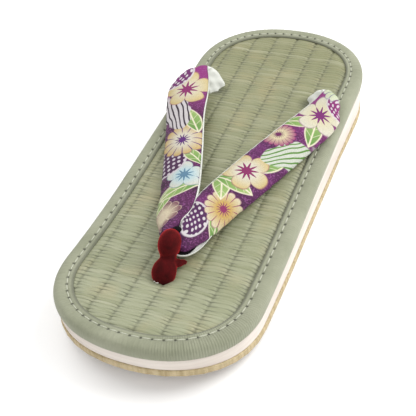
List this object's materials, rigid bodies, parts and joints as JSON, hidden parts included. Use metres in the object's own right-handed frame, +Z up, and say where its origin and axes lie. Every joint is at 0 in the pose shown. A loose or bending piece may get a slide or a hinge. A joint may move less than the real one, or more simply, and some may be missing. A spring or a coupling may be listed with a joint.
{
  "type": "zori sandal",
  "caption": "Flat wedge sandal with a rush-covered footbed, bound edge, zigzag rubber sole and padded V-shaped fabric straps held by a velvet front post.",
  "frame": {"origin": "on the floor, under the centre of the sandal's box", "axes": "toe towards -Y, heel towards +Y, +Z up, +X to the right as seen from the toe, which is the wearer's left"},
  "size_m": [0.0934, 0.2402, 0.038],
  "materials": {
    "outsole_rubber": "moulded tan rubber with zigzag grooves",
    "midsole_foam": "off-white closed-cell foam with a cut side",
    "insole_felt": "pressed pale felt",
    "rush_weave": "woven rush with a soft sheen, pale green",
    "binding_cotton": "grey-green folded cotton tape with a row of stitches",
    "strap_crepe": "printed crepe over padding, purple with pale flowers, white lining",
    "post_velvet": "dark red velvet"
  },
  "bodies": {
    "root": {"outsole": "outsole_rubber", "midsole": "midsole_foam", "insole_pad": "insole_felt", "rush_mat": "rush_weave", "edge_binding": "binding_cotton", "upper": "strap_crepe", "front_post": "post_velvet"}
  },
  "joints": []
}
